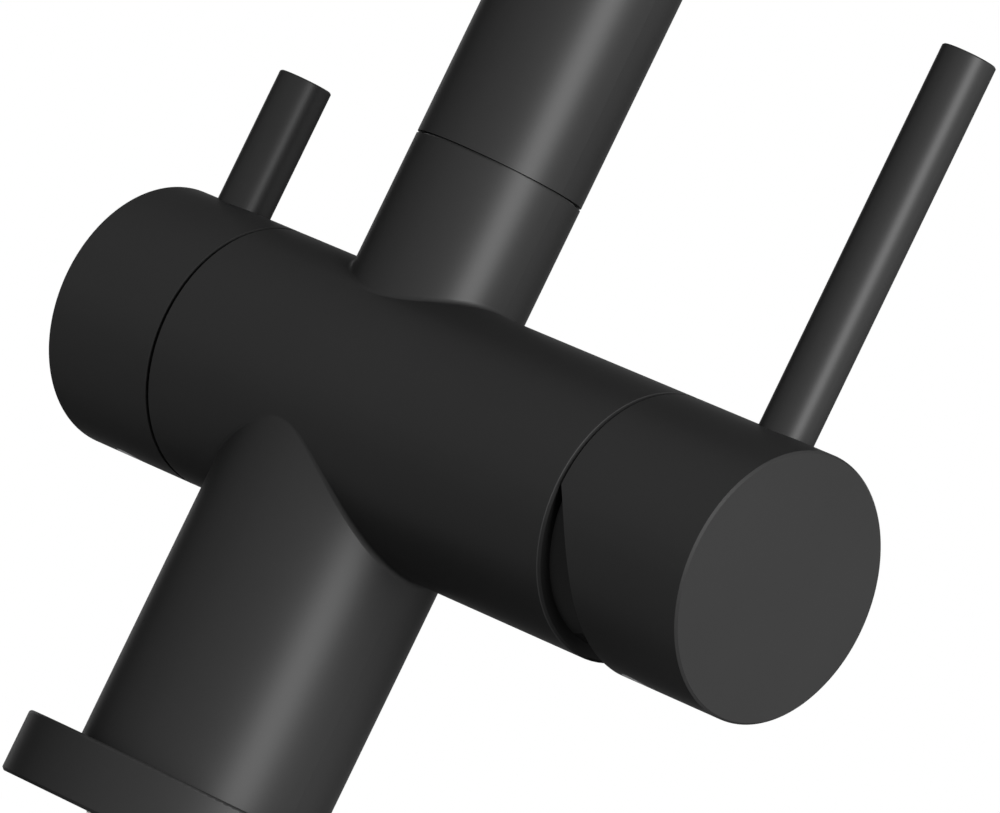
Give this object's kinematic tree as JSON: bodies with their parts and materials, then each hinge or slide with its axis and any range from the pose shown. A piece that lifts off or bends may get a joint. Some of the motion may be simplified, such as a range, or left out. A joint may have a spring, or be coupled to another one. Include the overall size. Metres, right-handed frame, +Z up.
{
  "type": "kitchen faucet",
  "caption": "Matte black kitchen faucet on a round deck flange: cross body with a tilting mixer lever, a filtered-water lever and a swivelling swan-neck spout with an aerator.",
  "frame": {"origin": "centre of the flange's underside, on the deck", "axes": "+Z up, +X towards the mixer handle, -Y towards the person at the sink"},
  "size_m": [0.1599, 0.232, 0.4207],
  "materials": {
    "matte_black": "matte black powder coat with a satin sheen",
    "brass": "machined brass",
    "steel": "stainless steel",
    "rubber": "black nitrile rubber",
    "ceramic": "lapped alumina",
    "white_plastic": "white acetal",
    "dark_plastic": "black acetal"
  },
  "bodies": {
    "base": {"base_flange": "matte_black", "deck_seal": "rubber", "mounting_shank": "brass", "clamp_gasket": "rubber", "clamp_washer": "steel", "mounting_nut": "brass", "body_shell": "matte_black", "hose_manifold": "brass", "manifold_gasket": "rubber", "manifold_bolt": "steel", "cartridge_base": "white_plastic", "cartridge_gasket": "rubber", "cartridge_housing": "white_plastic", "cartridge_nut": "brass", "fixed_disc": "ceramic", "headwork_body": "brass", "headwork_seal": "rubber", "headwork_fixed_disc": "ceramic", "glide_ring": "dark_plastic", "keeper_screw": "steel", "filter_line_seal": "rubber"},
    "spout": {"spout_tube": "matte_black", "spout_stub": "brass", "spout_oring_lower": "rubber", "spout_oring_upper": "rubber", "filter_line": "white_plastic", "aerator_collar": "matte_black", "aerator_insert": "white_plastic", "aerator_seal": "rubber", "filter_nozzle": "dark_plastic"},
    "mixer_carrier": {"stem_guide": "white_plastic", "pivot_pin": "steel"},
    "mixer_handle": {"mixer_stem": "brass", "mixer_cap": "matte_black", "mixer_lever": "matte_black", "mixer_grub_screw": "steel", "mixer_screw_plug": "dark_plastic"},
    "mixer_disc": {"moving_disc": "ceramic", "disc_slider": "white_plastic"},
    "filter_handle": {"filter_cap": "matte_black", "filter_lever": "matte_black", "filter_grub_screw": "steel", "filter_screw_plug": "dark_plastic", "headwork_spindle": "brass", "headwork_moving_disc": "ceramic", "spindle_seal": "rubber"}
  },
  "joints": [
    {"name": "spout_swivel", "type": "hinge", "parent": "base", "child": "spout", "pos_m": [0, 0, 0.1305], "axis": [0, 0, 1], "continuous": true},
    {"name": "mixer_temperature", "type": "hinge", "parent": "base", "child": "mixer_carrier", "pos_m": [0.058, 0, 0.0835], "axis": [1, 0, 0], "range_deg": [-50, 50]},
    {"name": "mixer_flow", "type": "hinge", "parent": "mixer_carrier", "child": "mixer_handle", "pos_m": [0.058, 0, 0.0835], "axis": [0, 1, 0], "range_deg": [0, 18]},
    {"name": "disc_slide", "type": "slide", "parent": "mixer_carrier", "child": "mixer_disc", "axis": [0, 0, 1], "range_m": [0, 0.0052]},
    {"name": "filter_valve", "type": "hinge", "parent": "base", "child": "filter_handle", "pos_m": [-0.047, 0, 0.0835], "axis": [1, 0, 0], "range_deg": [0, 90]}
  ],
  "couplings": [
    {"joint": "disc_slide", "follows": "mixer_flow", "m_per_rad": 0.016}
  ]
}
